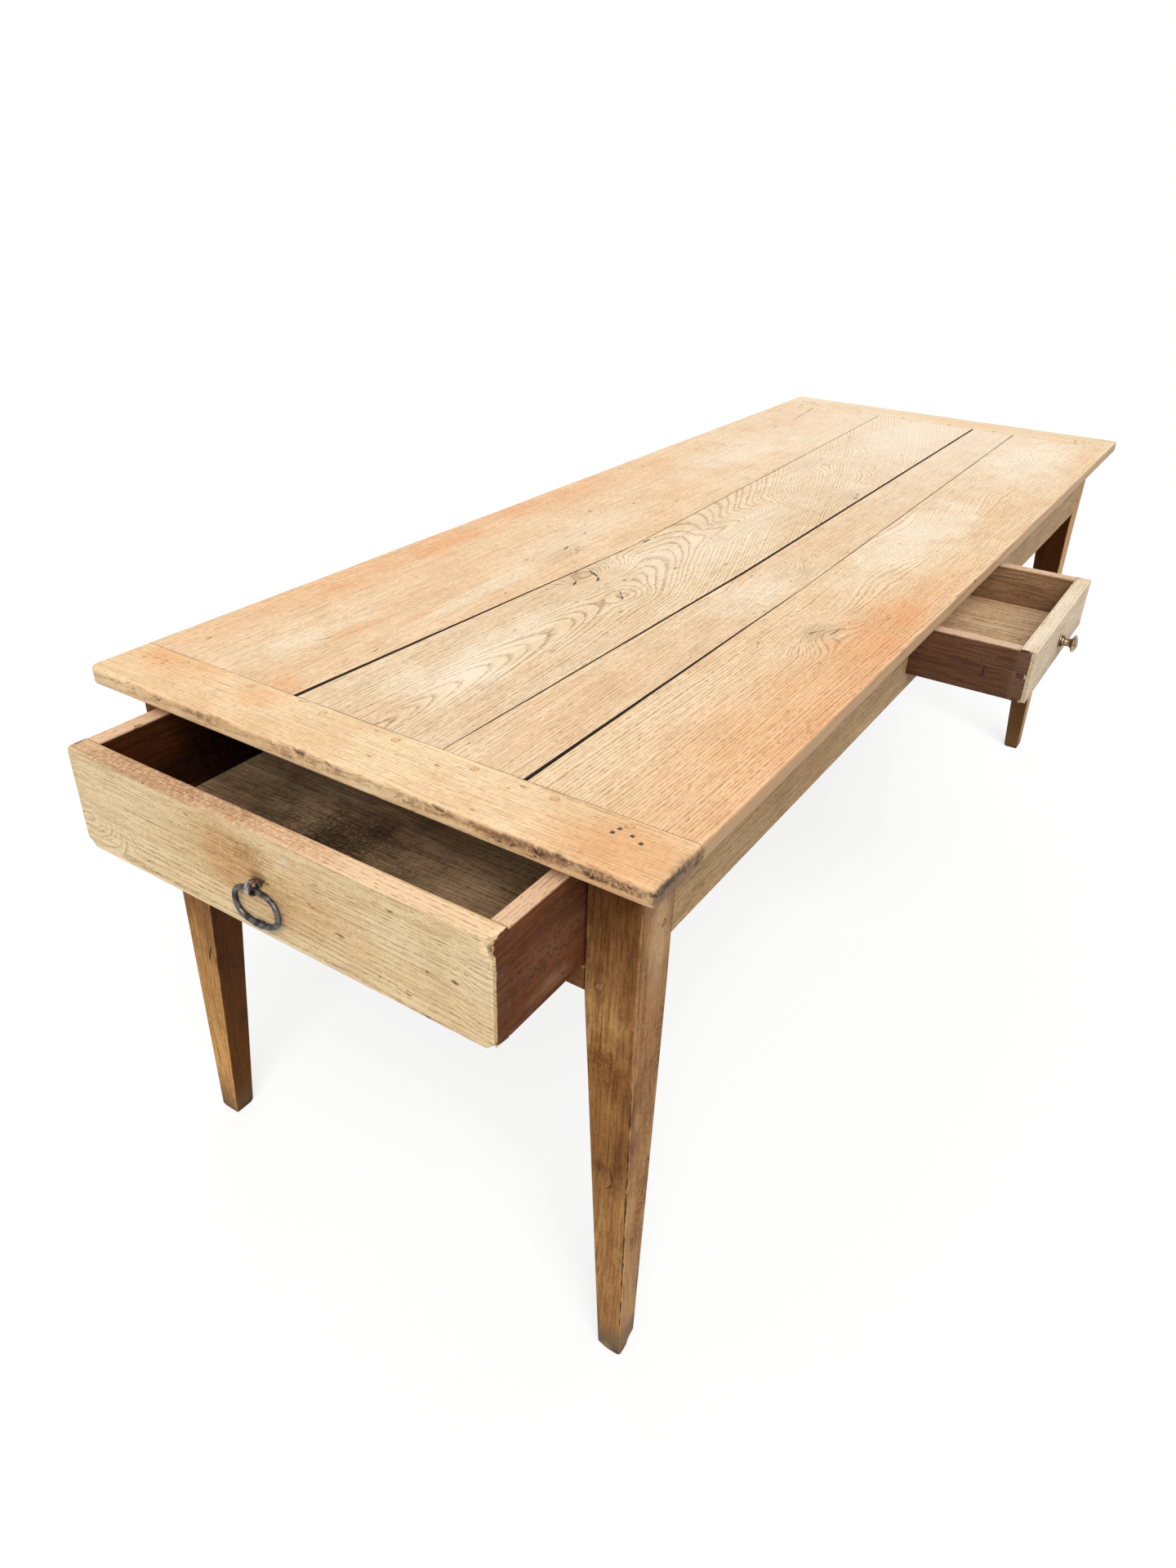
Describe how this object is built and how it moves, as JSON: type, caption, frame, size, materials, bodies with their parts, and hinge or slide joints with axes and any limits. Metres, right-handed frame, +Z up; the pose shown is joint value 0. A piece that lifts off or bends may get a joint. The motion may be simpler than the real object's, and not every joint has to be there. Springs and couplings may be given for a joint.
{
  "type": "farmhouse table",
  "caption": "Long oak farmhouse table with a planked top between breadboard ends, tapered legs, an end drawer with an iron ring pull and a side drawer with a brass knob.",
  "frame": {"origin": "centre of the top's upper face", "axes": "+X along the top, from the ring-drawer end to the plain end; +Y across it, from the knob-drawer side to the plain side; +Z up"},
  "size_m": [2.1826, 0.9226, 0.76],
  "materials": {
    "top_oak": "waxed, worn and sun-bleached",
    "breadboard_oak": "waxed, worn and dented along the end",
    "leg_oak": "old polish over streaked oak",
    "rail_oak": "dull old polish",
    "peg_oak": "dark end grain",
    "runner_oak": "bare, darkened",
    "end_front_oak": "worn satin with fine cross grain lines",
    "side_front_oak": "bleached, worn soft at the arrises",
    "drawer_oak": "dark red-brown, scuffed",
    "bottom_oak": "bare, scratched",
    "nail_iron": "rusted dark",
    "forged_iron": "forged, dark satin",
    "old_brass": "turned, tarnished"
  },
  "bodies": {
    "table": {"breadboard_far": "breadboard_oak", "breadboard_near": "breadboard_oak", "breadboard_pegs": "peg_oak", "drawer_bearer": "rail_oak", "drawer_stops": "runner_oak", "end_guide_left": "runner_oak", "end_guide_right": "runner_oak", "end_rail_far": "rail_oak", "end_runner_left": "runner_oak", "end_runner_right": "runner_oak", "frame_pegs": "peg_oak", "glue_blocks": "rail_oak", "leg_far_left": "leg_oak", "leg_far_right": "leg_oak", "leg_near_left": "leg_oak", "leg_near_right": "leg_oak", "long_rail_left": "rail_oak", "long_rail_right": "rail_oak", "plank_centre_narrow": "top_oak", "plank_centre_wide": "top_oak", "plank_left_wide": "top_oak", "plank_right": "top_oak", "runner_nails": "nail_iron", "side_guide_far": "runner_oak", "side_guide_near": "runner_oak", "side_runner_far": "runner_oak", "side_runner_near": "runner_oak", "top_nails": "nail_iron", "top_rail_near": "rail_oak"},
    "end_drawer": {"end_drawer_back": "drawer_oak", "end_drawer_bottom_front": "bottom_oak", "end_drawer_bottom_middle": "bottom_oak", "end_drawer_bottom_rear": "bottom_oak", "end_drawer_front": "end_front_oak", "end_drawer_nails": "nail_iron", "end_drawer_side_left": "drawer_oak", "end_drawer_side_right": "drawer_oak", "ring_eye": "forged_iron"},
    "side_drawer": {"knob": "old_brass", "knob_nut": "old_brass", "knob_washer": "old_brass", "side_drawer_back": "drawer_oak", "side_drawer_bottom_far": "bottom_oak", "side_drawer_bottom_near": "bottom_oak", "side_drawer_front": "side_front_oak", "side_drawer_nails": "nail_iron", "side_drawer_side_far": "drawer_oak", "side_drawer_side_near": "drawer_oak"},
    "ring": {"ring_pull": "forged_iron"}
  },
  "joints": [
    {"name": "end_drawer_slide", "type": "slide", "parent": "table", "child": "end_drawer", "axis": [-1, 0, 0], "range_m": [-0.1445, 0.245]},
    {"name": "side_drawer_slide", "type": "slide", "parent": "table", "child": "side_drawer", "axis": [0, -1, 0], "range_m": [-0.168, 0.162]},
    {"name": "ring_hinge", "type": "hinge", "parent": "end_drawer", "child": "ring", "pos_m": [-1.1392, 0.007, -0.10172], "axis": [0, 1, 0], "range_deg": [-3.5, 183.5]}
  ]
}
